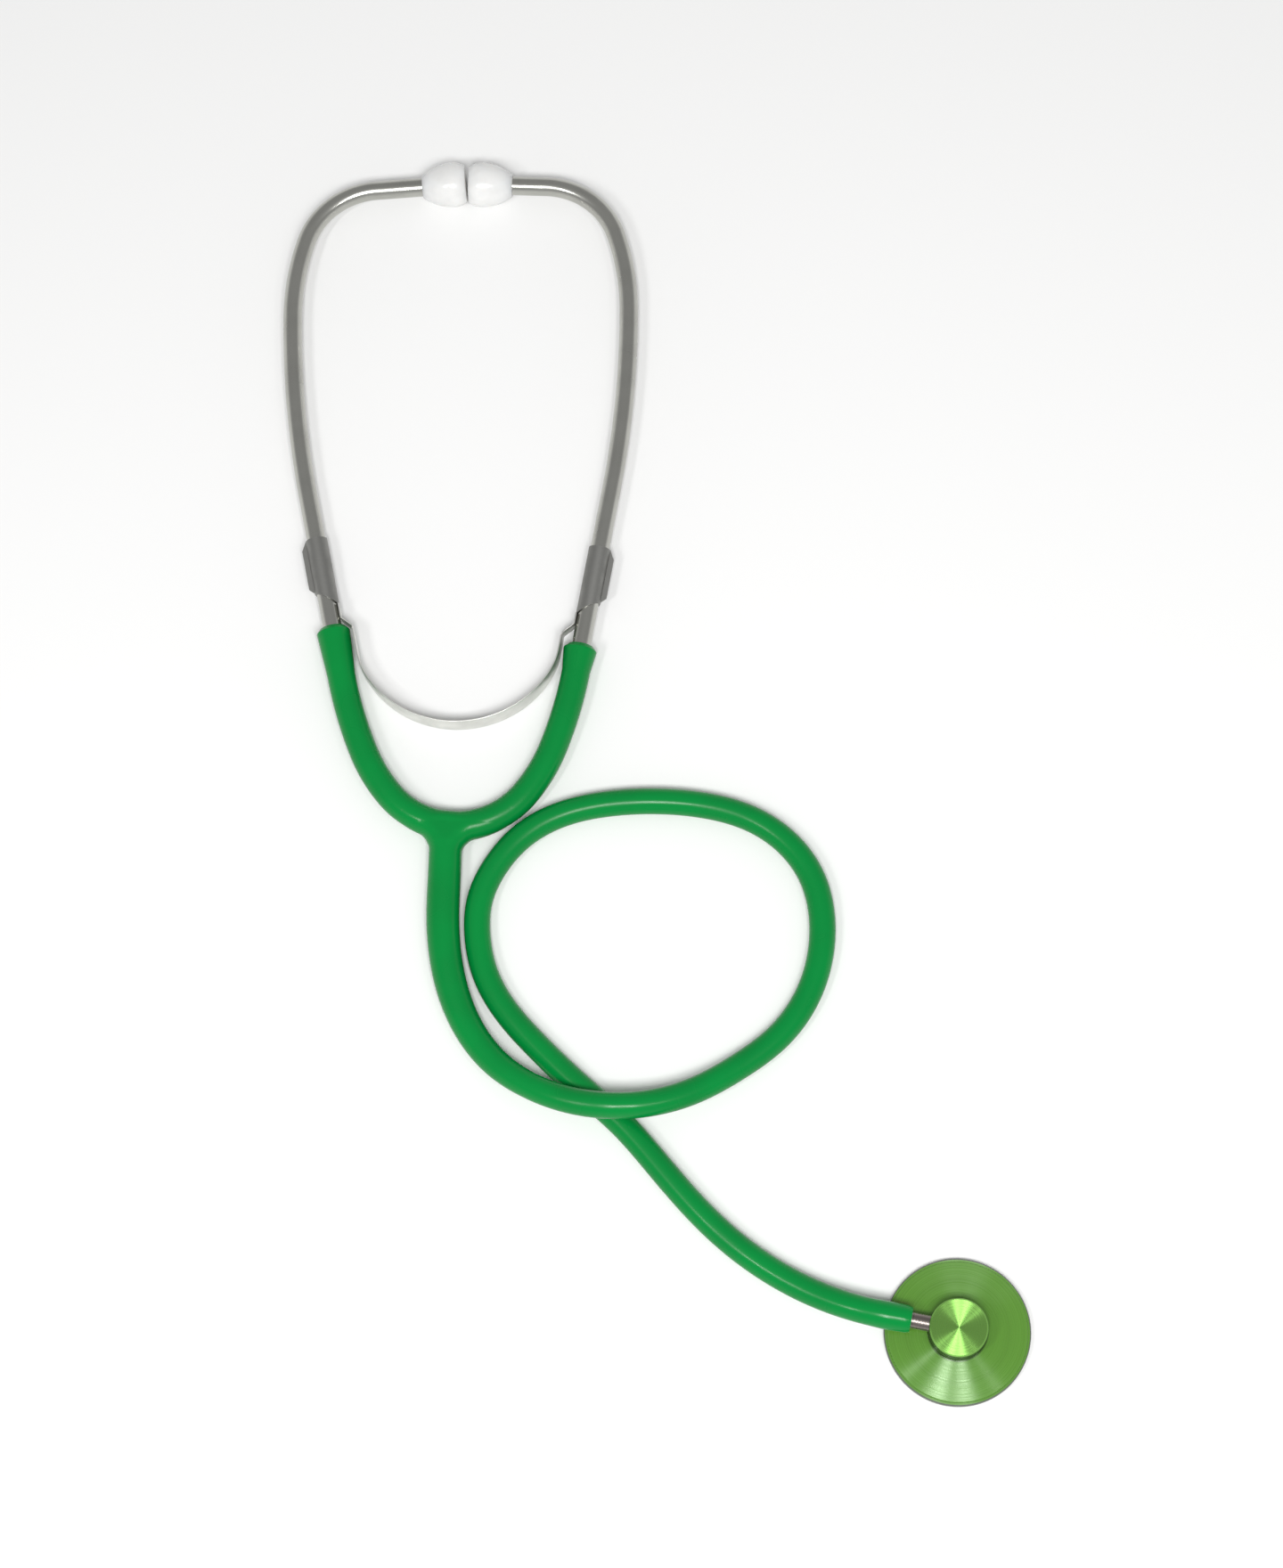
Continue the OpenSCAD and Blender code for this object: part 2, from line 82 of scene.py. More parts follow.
# Straights (length, 0) and bends (radius, turn) in the headset's plane, in millimetres and degrees.
# The sockets, clips and straights of the left side stand higher than those of the right side.
YOKE_RUNS = [(28, 50), (55, 18), (140, 11.2)]
BOW = YOKE_RUNS[0][0]
SOCKET_LENGTH = {"left": 16.5, "right": 8.7}
SOCKET_DEPTH = 8
SOCKET_RADIUS = 5.5
SOCKET_BORE = 3.15
STRAIGHT_END = 63.5
CROOK_RUNS = [(350, 10.5), (88, 18), (26, 69), (22.48, 0)]
STRIP_START = (0, 33.5, -90)
STRIP_BOW = [(35, 58), (22, 21.2)]
STRIP_SIDE = {"left": 9.5, "right": 5.7}
STRIP_KINK = [(1.5, -42), (3.547, 0), (1.5, 42)]
STRIP_TAB = {"left": 4.437, "right": 3.237}
# The strip narrows to its neck from this far before the end of its side, over this length
NECK_LEAD = 0.0012
NECK_FADE = 0.0016
# Foot of each ear tip, and how far its axis turns from +Y
TIP_PLACE = {"left": (13.0288, 223.2599, 86.7), "right": (17.4215, 223.0066, 86.7)}

# Degrees round the bow at which the yoke's arms take over from its middle piece; they start
# a little earlier, sunk below its surface
ARM_JOIN = 36
ARM_OVERLAP = 3
ARM_SUNK = 0.06
# The rough middle piece: balls out to so many degrees, their radii, and the remesh's voxel
BALLS_TO = 52
BOW_BALL = 4.4
STEM_BALL = 4.8
VOXEL = 0.42
FITTING_STEPS = 14

# The barbs of the metal stem swell the free tube: how much, how far from its end and over how much
BARB_SWELL = 0.00018
BARB_PLACE = 0.007
BARB_REACH = 0.004
TUBE_END_CORNER = 0.0004

# Route of the free tube from the yoke's stem to the metal stem, in millimetres
TUBE_ROUTE = [
    (-158.158, 147.543, 5.352), (-158.6, 135, 5.35), (-157.9, 122, 5.3), (-155.2, 109, 5.15),
    (-150.2, 97, 5.2), (-142.8, 86.8, 6.2), (-133, 78.8, 8.8), (-120.8, 73, 11.5),
    (-107.5, 70.2, 12.9), (-94, 70.7, 12), (-79, 75.4, 8.9), (-65, 83.5, 6), (-53, 92.8, 4.6),
    (-44.5, 104, 4.25), (-39.6, 117, 4.25), (-38.4, 131, 4.25), (-41.3, 144.5, 4.25),
    (-49, 156, 4.25), (-60.5, 164.2, 4.25), (-75, 168.8, 4.25), (-91, 170.5, 4.25),
    (-107, 169.8, 4.25), (-120, 167, 4.25), (-132, 160.8, 4.25), (-141.6, 150.5, 4.25),
    (-147, 138.5, 4.25), (-147.6, 127, 4.25), (-145, 114.5, 4.25), (-138, 101.8, 4.25),
    (-127.5, 89.8, 4.25), (-115.6, 78.1, 4.25), (-102.8, 66.4, 4.25), (-91.6, 53.4, 4.25),
    (-80.2, 39.8, 4.25), (-68.4, 28.2, 4.25), (-55.4, 18.6, 4.6), (-42.2, 11.4, 6.2),
    (-26.019, 5.531, 9), (-14.281, 3.036, 9),
]

# Where the finish of the sound disc changes, in metres, as two limits that it fades between:
# the bright boss, the painted shade on the boss's side wall and foot, and the darker outer edge of
# the retaining ring
BOSS_RADIUS = (0.0092, 0.0088)
PAINTED_SHADE_OUTSIDE = (0.0096, 0.0092)
PAINTED_SHADE_INSIDE = (0.0087, 0.0089)
PAINTED_SHADE_TOP = (0.0127, 0.0124)
RIM_RADIUS = (0.0221, 0.0222)

# The camera looks down on the table from over the disc's side of it
CAMERA_EYE = (-0.061307, -0.149471, 1.1)
CAMERA_TARGET = (-0.095292, 0.177604, 0)
CAMERA_UP = (0.0087, 1, 0)
# Name, place, size and share of its setting for each light; the lights face one point
LIGHT_AIM = (-0.1, 0.15, 0)
LIGHTS = [
    ("Left panel", (-0.14, -0.42, 1.35), (0.16, 0.36), "panel_power", 0.55),
    ("Right panel", (0.13, -0.42, 1.35), (0.12, 0.36), "panel_power", 0.45),
    ("Right lamp", (0.5, -0.42, 1.35), (0.06, 0.3), "side_power", 1),
    ("Left lamp", (-0.7, -0.42, 1.35), (0.06, 0.3), "side_power", 3),
]
# The floor's half side in metres, so wide that its edge is never seen
FLOOR_REACH = 40
# The upward part of the viewing direction at which the pale wall starts and is whole
WALL_FADE = (0.42, 0.1)


class SoftTubeSizes(bpy.types.PropertyGroup):
    tube_diameter: FloatProperty(
        name="Tube diameter", description="Outer diameter of the free tube",
        default=0.0084, unit="LENGTH", subtype="DISTANCE")
    stem_diameter: FloatProperty(
        name="Stem diameter", description="Diameter of the yoke's stem, where the free tube begins",
        default=0.0106, unit="LENGTH", subtype="DISTANCE")
    arm_diameter: FloatProperty(
        name="Arm diameter", description="Diameter of the yoke's two arms",
        default=0.0092, unit="LENGTH", subtype="DISTANCE")
    taper_length: FloatProperty(
        name="Taper length", description="Length over which the free tube narrows",
        default=0.080, unit="LENGTH", subtype="DISTANCE")
    fillet: FloatProperty(
        name="Corner radius", description="Radius of the corners between the stem and the arms",
        default=0.004, unit="LENGTH", subtype="DISTANCE")
    sides: IntProperty(
        name="Sides", description="Faces around the tube", default=40, min=12, max=96)
    vinyl_colour: FloatVectorProperty(
        name="Vinyl colour", description="Colour of the soft tube",
        default=(0.001, 0.225, 0.040), size=3, min=0, max=1, subtype="COLOR")


class HeadsetSizes(bpy.types.PropertyGroup):
    strip_thickness: FloatProperty(
        name="Strip thickness", description="Thickness of the leaf spring",
        default=0.00045, unit="LENGTH", subtype="DISTANCE")
    strip_width: FloatProperty(
        name="Strip width", description="Width of the leaf spring",
        default=0.0095, unit="LENGTH", subtype="DISTANCE")
    tip_diameter: FloatProperty(
        name="Tip diameter", description="Largest diameter of an ear tip",
        default=0.015, unit="LENGTH", subtype="DISTANCE")
    tip_length: FloatProperty(
        name="Tip length", description="Length of an ear tip",
        default=0.015, unit="LENGTH", subtype="DISTANCE")
    ear_tube_diameter: FloatProperty(
        name="Ear tube diameter", description="Outer diameter of a metal ear tube",
        default=0.0062, unit="LENGTH", subtype="DISTANCE")
    neck_width: FloatProperty(
        name="Neck width", description="Width of the leaf spring between its bow and a clip",
        default=0.0054, unit="LENGTH", subtype="DISTANCE")
    steel_colour: FloatVectorProperty(
        name="Steel colour", description="Colour of the spring and its clips",
        default=(0.74, 0.74, 0.705), size=3, min=0, max=1, subtype="COLOR")
    tube_colour: FloatVectorProperty(
        name="Ear tube colour", description="Colour of the metal ear tubes",
        default=(0.49, 0.49, 0.455), size=3, min=0, max=1, subtype="COLOR")
    tip_colour: FloatVectorProperty(
        name="Tip colour", description="Colour of the ear tips",
        default=(0.77, 0.77, 0.76), size=3, min=0, max=1, subtype="COLOR")


class DiscSizes(bpy.types.PropertyGroup):
    groove_pitch: FloatProperty(
        name="Groove pitch", description="Distance between two turning marks",
        default=0.00045, unit="LENGTH", subtype="DISTANCE")
    green: FloatVectorProperty(
        name="Anodised green", description="Colour of the turned disc",
        default=(0.095, 0.245, 0.03), size=3, min=0, max=1, subtype="COLOR")
    boss_colour: FloatVectorProperty(
        name="Boss green", description="Colour of the disc's bright boss",
        default=(0.22, 0.47, 0.10), size=3, min=0, max=1, subtype="COLOR")
    # Colour given to the outermost edge of the retaining ring, darker than its green
    rim_colour: FloatVectorProperty(
        name="Rim colour", description="Colour of the bare edge of the retaining ring",
        default=(0.10, 0.12, 0.09), size=3, min=0, max=1, subtype="COLOR")


class StudioSettings(bpy.types.PropertyGroup):
    floor_colour: FloatVectorProperty(
        name="Floor colour", description="Colour of the floor",
        default=(0.85, 0.85, 0.845), size=3, min=0, max=1, subtype="COLOR")
    room: FloatProperty(
        name="Room", description="Brightness of the room above the table", default=0.38, min=0)
    horizon: FloatProperty(
        name="Horizon", description="Brightness of the pale wall low around the table",
        default=0.9, min=0)
    panel_power: FloatProperty(
        name="Soft panels", description="Power of the two soft panels over the table, in watts",
        default=14.6, min=0)
    side_power: FloatProperty(
        name="Side lamp", description="Power of the narrow lamp on the right, in watts",
        default=1.5, min=0)
    lens: FloatProperty(
        name="Lens", description="Focal length of the camera, in millimetres",
        default=81.91, min=10)


def sizes(context, group):
    return getattr(context.scene, "stethoscope_" + group)


# Paths and meshes

def trace(start, runs, step):
    """Places (x, y, heading) along straights and bends, each heading in degrees from +Y."""
    x, y, heading = start
    places = [(x, y, heading)]
    for size, turn in runs:
        length = size if turn == 0 else abs(math.radians(turn)) * size
        count = max(1, math.ceil(length / step))
        for i in range(1, count + 1):
            share = i / count
            h = math.radians(heading)
            if turn == 0:
                place = x - size * share * math.sin(h), y + size * share * math.cos(h), heading
            else:
                side = math.copysign(size, turn)
                end = math.radians(heading + turn * share)
                place = (x - side * math.cos(h) + side * math.cos(end),
                         y - side * math.sin(h) + side * math.sin(end), heading + turn * share)
            places.append(place)
        x, y, heading = places[-1]
    return places


def run_end(start, *runs):
    """The place after some runs."""
    return trace(start, runs, step=math.inf)[-1]


def distances(points):
    """How far along its path each point lies."""
    return np.concatenate([[0], np.cumsum(np.linalg.norm(np.diff(points, axis=0), axis=1))])


def smooth_route(points, step):
    """A curve through all the points with no sudden change of bend, resampled at an even step."""
    points = np.array(points, float)
    knots = distances(points)
    n, gaps = len(points), np.diff(knots)
    system, target = np.zeros((n, n)), np.zeros_like(points)
    system[0, 0] = system[-1, -1] = 1
    target[0] = (points[1] - points[0]) / gaps[0]
    target[-1] = (points[-1] - points[-2]) / gaps[-1]
    for i in range(1, n - 1):
        a, b = gaps[i - 1], gaps[i]
        system[i, i - 1], system[i, i], system[i, i + 1] = b, 2 * (a + b), a
        target[i] = 3 * (b * (points[i] - points[i - 1]) / a + a * (points[i + 1] - points[i]) / b)
    slopes = np.linalg.solve(system, target)
    at = np.linspace(0, knots[-1], int(knots[-1] / step) + 1)
    cell = np.clip(np.searchsorted(knots, at, side="right") - 1, 0, n - 2)
    gap = gaps[cell][:, None]
    u = ((at - knots[cell]) / gaps[cell])[:, None]
    return ((2 * u**3 - 3 * u**2 + 1) * points[cell] + (u**3 - 2 * u**2 + u) * gap * slopes[cell]
            + (3 * u**2 - 2 * u**3) * points[cell + 1] + (u**3 - u**2) * gap * slopes[cell + 1])


def add_object(name, data):
    made = bpy.data.objects.new(name, data)
    bpy.context.scene.collection.objects.link(made)
    return made


def new_piece(name, verts, faces):
    mesh = bpy.data.meshes.new(name)
    mesh.from_pydata([tuple(v) for v in verts], [], faces)
    mesh.validate()
    mesh.update()
    mesh.shade_smooth()
    return add_object(name, mesh)


def ring_faces(rings, sides):
    """Faces that join each ring of points to the next."""
    faces = []
    for i in range(rings - 1):
        low, high = i * sides, (i + 1) * sides
        for k in range(sides):
            following = (k + 1) % sides
            faces.append((low + k, low + following, high + following, high + k))
    return faces


def apply_modifiers(piece):
    """Turns the piece, as its modifiers leave it, into a plain mesh."""
    bpy.context.view_layer.update()
    graph = bpy.context.evaluated_depsgraph_get()
    plain = bpy.data.meshes.new_from_object(piece.evaluated_get(graph))
    piece.modifiers.clear()
    piece.data = plain
    return plain


def outward(piece):
    """Merges doubles and turns every face outwards."""
    work = bmesh.new()
    work.from_mesh(piece.data)
    bmesh.ops.remove_doubles(work, verts=work.verts, dist=1e-7)
    bmesh.ops.recalc_face_normals(work, faces=work.faces)
    work.to_mesh(piece.data)
    work.free()
    piece.data.update()


def sharpen(piece, degrees):
    """Keeps edges sharper than the angle crisp in smooth shading."""
    work = bmesh.new()
    work.from_mesh(piece.data)
    limit = math.radians(degrees)
    for edge in work.edges:
        if len(edge.link_faces) == 2 and edge.calc_face_angle(0) > limit:
            edge.smooth = False
    work.to_mesh(piece.data)
    work.free()


def lathe(name, outline, place, segments):
    """Turns an outline of (radius, height) about Z, and puts it in place."""
    verts = []
    for radius, height in outline:
        for k in range(segments):
            a = 2 * math.pi * k / segments
            verts.append(place @ Vector((radius * math.cos(a), radius * math.sin(a), height)))
    piece = new_piece(name, verts, ring_faces(len(outline), segments))
    outward(piece)
    return piece


def rounded(outline, radius, steps=4):
    """The outline with its corners rounded, as far as their sides allow."""
    nearly_straight, most_of_side = math.radians(172), 0.45
    points = [Vector(p) for p in outline]
    result = [points[0]]
    for before, corner, after in zip(points, points[1:], points[2:]):
        to_before, to_after = before - corner, after - corner
        angle = to_before.angle(to_after, math.pi)
        if angle > nearly_straight:
            result.append(corner)
            continue
        reach = min(radius / math.tan(angle / 2),
                    most_of_side * to_before.length, most_of_side * to_after.length)
        a, b = corner + to_before.normalized() * reach, corner + to_after.normalized() * reach
        for i in range(steps + 1):
            t = i / steps
            result.append(a * (1 - t) ** 2 + corner * 2 * t * (1 - t) + b * t * t)
    result.append(points[-1])
    return [(p.x, p.y) for p in result]


# Geometry node trees

SWEEP = "Sweep along a path"


def sweep_tree():
    """Sweeps a round or a flat section along the edges of a path."""
    tree = bpy.data.node_groups.new(SWEEP, "GeometryNodeTree")
    face = tree.interface
    face.new_socket("Path", in_out="INPUT", socket_type="NodeSocketGeometry")
    for name, kind, value in (
            ("Sides", "NodeSocketInt", 32), ("Flat section", "NodeSocketBool", False),
            ("Thickness", "NodeSocketFloat", 0.001), ("Width", "NodeSocketFloat", 0.01),
            ("Edge radius", "NodeSocketFloat", 0.0001)):
        face.new_socket(name, in_out="INPUT", socket_type=kind).default_value = value
    face.new_socket("Material", in_out="INPUT", socket_type="NodeSocketMaterial")
    face.new_socket("Mesh", in_out="OUTPUT", socket_type="NodeSocketGeometry")
    nodes, links = tree.nodes, tree.links
    given, result = nodes.new("NodeGroupInput"), nodes.new("NodeGroupOutput")
    curve = nodes.new("GeometryNodeMeshToCurve")
    normal = nodes.new("GeometryNodeSetCurveNormal")
    normal.mode = "Z_UP"
    reach = nodes.new("GeometryNodeInputNamedAttribute")
    reach.data_type = "FLOAT"
    reach.inputs["Name"].default_value = "reach"
    circle = nodes.new("GeometryNodeCurvePrimitiveCircle")
    circle.inputs["Radius"].default_value = 1
    flat = nodes.new("GeometryNodeCurvePrimitiveQuadrilateral")
    fillet = nodes.new("GeometryNodeFilletCurve")
    fillet.mode = "POLY"
    fillet.inputs["Count"].default_value = 3
    choose = nodes.new("GeometryNodeSwitch")
    choose.input_type = "GEOMETRY"
    solid = nodes.new("GeometryNodeCurveToMesh")
    solid.inputs["Fill Caps"].default_value = True
    realize = nodes.new("GeometryNodeRealizeInstances")
    paint = nodes.new("GeometryNodeSetMaterial")
    links.new(given.outputs["Path"], curve.inputs["Mesh"])
    links.new(curve.outputs["Curve"], normal.inputs["Curve"])
    links.new(normal.outputs["Curve"], solid.inputs["Curve"])
    links.new(reach.outputs["Attribute"], solid.inputs["Scale"])
    links.new(given.outputs["Sides"], circle.inputs["Resolution"])
    links.new(given.outputs["Thickness"], flat.inputs["Width"])
    links.new(given.outputs["Width"], flat.inputs["Height"])
    links.new(flat.outputs["Curve"], fillet.inputs["Curve"])
    links.new(given.outputs["Edge radius"], fillet.inputs["Radius"])
    links.new(given.outputs["Flat section"], choose.inputs["Switch"])
    links.new(circle.outputs["Curve"], choose.inputs["False"])
    links.new(fillet.outputs["Curve"], choose.inputs["True"])
    links.new(choose.outputs["Output"], solid.inputs["Profile Curve"])
    links.new(solid.outputs["Mesh"], realize.inputs["Geometry"])
    links.new(realize.outputs["Geometry"], paint.inputs["Geometry"])
    links.new(given.outputs["Material"], paint.inputs["Material"])
    links.new(paint.outputs["Geometry"], result.inputs["Mesh"])
    return tree


def swept(name, points, reaches, material, **inputs):
    """A plain mesh from the sweep tree, along points, each with its own reach."""
    tree = bpy.data.node_groups.get(SWEEP) or sweep_tree()
    mesh = bpy.data.meshes.new(name)
    mesh.from_pydata([tuple(p) for p in points], [(i, i + 1) for i in range(len(points) - 1)], [])
    reach = mesh.attributes.new("reach", "FLOAT", "POINT")
    reach.data.foreach_set("value", np.array(reaches, np.float32))
    piece = add_object(name, mesh)
    modifier = piece.modifiers.new("Sweep", "NODES")
    modifier.node_group = tree
    sockets = {s.name: s.identifier for s in tree.interface.items_tree
               if s.item_type == "SOCKET" and s.in_out == "INPUT"}
    for key, value in inputs.items():
        modifier[sockets[key.replace("_", " ").capitalize()]] = value
    modifier[sockets["Material"]] = material
    plain = apply_modifiers(piece)
    plain.name = name
    plain.shade_smooth()
    outward(piece)
    return piece


# Shader groups

def group_tree(name, inputs, outputs):
    """An empty shader group with its sockets, and its input and output nodes."""
    tree = bpy.data.node_groups.new(name, "ShaderNodeTree")
    for label, kind, value in inputs:
        tree.interface.new_socket(label, in_out="INPUT", socket_type=kind).default_value = value
    for label, kind in outputs:
        tree.interface.new_socket(label, in_out="OUTPUT", socket_type=kind)
    return tree, tree.nodes.new("NodeGroupInput"), tree.nodes.new("NodeGroupOutput")


def object_place(tree):
    return tree.nodes.new("ShaderNodeTexCoord").outputs["Object"]


def feed(tree, socket, value):
    """Gives a socket its value, which is plain or the output of a node."""
    if isinstance(value, bpy.types.NodeSocket):
        tree.links.new(value, socket)
    else:
        socket.default_value = value


def noise(tree, vector, scale, detail):
    node = tree.nodes.new("ShaderNodeTexNoise")
    node.inputs["Detail"].default_value = detail
    feed(tree, node.inputs["Scale"], scale)
    tree.links.new(vector, node.inputs["Vector"])
    return node.outputs["Fac"]


def noise_rings(tree, value, scale, detail, roughness=0.5):
    """Noise along one value, such as a distance from the middle."""
    node = tree.nodes.new("ShaderNodeTexNoise")
    node.noise_dimensions = "1D"
    node.inputs["Scale"].default_value = scale
    node.inputs["Detail"].default_value = detail
    node.inputs["Roughness"].default_value = roughness
    tree.links.new(value, node.inputs["W"])
    return node.outputs["Fac"]


def ramp(tree, value, low, high):
    """Maps a value between two limits to 0 to 1."""
    node = tree.nodes.new("ShaderNodeMapRange")
    node.inputs["From Min"].default_value = low
    node.inputs["From Max"].default_value = high
    tree.links.new(value, node.inputs["Value"])
    return node.outputs["Result"]


def math_node(tree, kind, a, b):
    """Works with two values, each a number or the output of a node."""
    node = tree.nodes.new("ShaderNodeMath")
    node.operation = kind
    for socket, value in zip(node.inputs, (a, b)):
        feed(tree, socket, value)
    return node.outputs["Value"]


def mix_colours(tree, factor, a, b):
    """Fades between two colours, each a colour or the output of a node."""
    node = tree.nodes.new("ShaderNodeMix")
    node.data_type = "RGBA"
    tree.links.new(factor, node.inputs["Factor"])
    for label, value in (("A", a), ("B", b)):
        linked = isinstance(value, bpy.types.NodeSocket)
        feed(tree, node.inputs[label], value if linked else (*value, 1))
    return node.outputs["Result"]


def shaded(colour, share):
    return [c * share for c in colour]


def handling_group():
    """Smudges and fine scratches from use: a slow mask, a fine mask and a roughness."""
    tree, given, result = group_tree(
        "Handling marks",
        [("Roughness", "NodeSocketFloat", 0.3), ("Spread", "NodeSocketFloat", 0.1),
         ("Size", "NodeSocketFloat", 60)],
        [("Roughness", "NodeSocketFloat"), ("Smudges", "NodeSocketFloat"),
         ("Scratches", "NodeSocketFloat")])
    place = object_place(tree)
    slow = noise(tree, place, scale=given.outputs["Size"], detail=3)
    smudges = ramp(tree, slow, 0.38, 0.66)
    stretch = tree.nodes.new("ShaderNodeMapping")
    stretch.inputs["Rotation"].default_value = (0.3, 0.2, 0.7)
    stretch.inputs["Scale"].default_value = (300, 4200, 900)
    tree.links.new(place, stretch.inputs["Vector"])
    fine = noise(tree, stretch.outputs["Vector"], scale=1, detail=2)
    scratches = ramp(tree, fine, 0.62, 0.74)
    change = math_node(tree, "MULTIPLY", smudges, given.outputs["Spread"])
    rough = math_node(tree, "ADD", given.outputs["Roughness"], change)
    tree.links.new(rough, result.inputs["Roughness"])
    tree.links.new(smudges, result.inputs["Smudges"])
    tree.links.new(scratches, result.inputs["Scratches"])
    return tree


def turning_group():
    """Marks that a lathe leaves, as rings about the model's own Z axis."""
    tree, given, result = group_tree(
        "Turning marks", [("Pitch", "NodeSocketFloat", 0.0004)],
        [("Height", "NodeSocketFloat"), ("Band", "NodeSocketFloat"), ("Radius", "NodeSocketFloat")])
    parts = tree.nodes.new("ShaderNodeSeparateXYZ")
    tree.links.new(object_place(tree), parts.inputs["Vector"])
    flat = tree.nodes.new("ShaderNodeCombineXYZ")
    tree.links.new(parts.outputs["X"], flat.inputs["X"])
    tree.links.new(parts.outputs["Y"], flat.inputs["Y"])
    length = tree.nodes.new("ShaderNodeVectorMath")
    length.operation = "LENGTH"
    tree.links.new(flat.outputs["Vector"], length.inputs[0])
    turns = math_node(tree, "DIVIDE", length.outputs["Value"], given.outputs["Pitch"])
    steps = noise_rings(tree, turns, scale=1, detail=4, roughness=0.75)
    broad = noise_rings(tree, turns, scale=0.16, detail=2)
    tree.links.new(length.outputs["Value"], result.inputs["Radius"])
    tree.links.new(steps, result.inputs["Height"])
    tree.links.new(ramp(tree, broad, 0.3, 0.7), result.inputs["Band"])
    return tree


def place_group(tree, name, build, **inputs):
    """A node of the shared group, which is built the first time, with its own values."""
    node = tree.nodes.new("ShaderNodeGroup")
    node.node_tree = bpy.data.node_groups.get(name) or build()
    for key, value in inputs.items():
        node.inputs[key].default_value = value
    return node


def material(name, colour, roughness, spread, size, metallic=0.0, **constants):
    """A Principled material whose roughness and colour carry handling marks."""
    made = bpy.data.materials.new(name)
    made.use_nodes = True
    tree = made.node_tree
    shader = tree.nodes["Principled BSDF"]
    shader.inputs["Metallic"].default_value = metallic
    for key, value in constants.items():
        shader.inputs[key.replace("_", " ")].default_value = value
    marks = place_group(tree, "Handling marks", handling_group,
                        Roughness=roughness, Spread=spread, Size=size)
    tree.links.new(marks.outputs["Roughness"], shader.inputs["Roughness"])
    tree.links.new(mix_colours(tree, marks.outputs["Smudges"], colour, shaded(colour, 0.9)),
                   shader.inputs["Base Color"])
    return made, tree, shader, marks


def bump(tree, shader, height, distance, strength):
    node = tree.nodes.new("ShaderNodeBump")
    node.inputs["Distance"].default_value = distance
    node.inputs["Strength"].default_value = strength
    tree.links.new(height, node.inputs["Height"])
    tree.links.new(node.outputs["Normal"], shader.inputs["Normal"])


def grain(tree, shader, scale, detail, distance, strength):
    """Gives a plastic surface its fine uneven skin."""
    skin = noise(tree, object_place(tree), scale, detail)
    bump(tree, shader, skin, distance, strength)


def vinyl(context):
    name = "Soft green vinyl"
    if name in bpy.data.materials:
        return bpy.data.materials[name]
    made, tree, shader, _ = material(
        name, sizes(context, "soft").vinyl_colour, roughness=0.2, spread=0.1, size=45,
        IOR=1.5, Specular_IOR_Level=0.17)
    grain(tree, shader, scale=900, detail=3, distance=0.00004, strength=0.35)
    return made


def ear_tube_metal(context):
    made, tree, shader, marks = material(
        "Polished tube", sizes(context, "headset").tube_colour, roughness=0.22, spread=0.06,
        size=90, metallic=1.0)
    bump(tree, shader, marks.outputs["Scratches"], distance=0.00001, strength=0.4)
    return made


def sheet_steel(context, name, shade, roughness):
    """Rolled steel in a shade of the steel colour: bright for the strip, dull for the clips."""
    if name in bpy.data.materials:
        return bpy.data.materials[name]
    made, tree, shader, marks = material(
        name, shaded(sizes(context, "headset").steel_colour, shade), roughness=roughness,
        spread=0.1, size=140, metallic=1.0)
    bump(tree, shader, marks.outputs["Scratches"], distance=0.00002, strength=0.5)
    return made


def tip_plastic(context):
    made, tree, shader, _ = material(
        "White tip plastic", sizes(context, "headset").tip_colour, roughness=0.16, spread=0.1,
        size=120, Subsurface_Weight=0.8, Subsurface_Scale=0.006, IOR=1.49)
    shader.inputs["Subsurface Radius"].default_value = (1.0, 0.95, 0.9)
    grain(tree, shader, scale=1100, detail=2, distance=0.00002, strength=0.3)
    return made


def turned(context, name, dark_edge=False):
    """Green turned metal that shines in wedges, with a bright boss, painted shade round the boss
    and, if asked, a darker edge.
    """
    disc = sizes(context, "disc")
    made, tree, shader, marks = material(
        name, disc.green, roughness=0.26, spread=0.04, size=70,
        Anisotropic=0.95, Anisotropic_Rotation=0.25)
    tangent = tree.nodes.new("ShaderNodeTangent")
    tangent.direction_type = "RADIAL"
    tangent.axis = "Z"
    tree.links.new(tangent.outputs["Tangent"], shader.inputs["Tangent"])
    turning = place_group(tree, "Turning marks", turning_group, Pitch=disc.groove_pitch)
    radius, lines = turning.outputs["Radius"], turning.outputs["Height"]
    height = tree.nodes.new("ShaderNodeSeparateXYZ")
    tree.links.new(object_place(tree), height.inputs["Vector"])

    boss = ramp(tree, radius, *BOSS_RADIUS)
    # Painted shade: the boss's side wall and a thin ring at its foot, below the boss's top, are
    # darkened to 0.3 of the green
    ring = math_node(tree, "MULTIPLY", ramp(tree, radius, *PAINTED_SHADE_OUTSIDE),
                     ramp(tree, radius, *PAINTED_SHADE_INSIDE))
    wall = math_node(tree, "MULTIPLY", ring, ramp(tree, height.outputs["Z"], *PAINTED_SHADE_TOP))
    colour = mix_colours(tree, turning.outputs["Band"],
                         shaded(disc.green, 0.97), shaded(disc.green, 1.06))
    colour = mix_colours(tree, boss, colour, disc.boss_colour)
    colour = mix_colours(tree, wall, colour, shaded(disc.green, 0.3))
    # The retaining ring's outermost edge fades to the darker rim colour
    if dark_edge:
        colour = mix_colours(tree, ramp(tree, radius, *RIM_RADIUS), colour, disc.rim_colour)
    tree.links.new(colour, shader.inputs["Base Color"])

    metal = math_node(tree, "ADD", math_node(tree, "MULTIPLY", boss, 0.8), 0.08)
    tree.links.new(metal, shader.inputs["Metallic"])
    uneven = math_node(tree, "MULTIPLY", math_node(tree, "SUBTRACT", lines, 0.5), 0.35)
    rough = math_node(tree, "ADD", math_node(tree, "ADD", marks.outputs["Roughness"], uneven),
                      math_node(tree, "MULTIPLY", boss, 0.03))
    tree.links.new(rough, shader.inputs["Roughness"])
    bump(tree, shader, lines, distance=0.00001, strength=0.3)
    return made


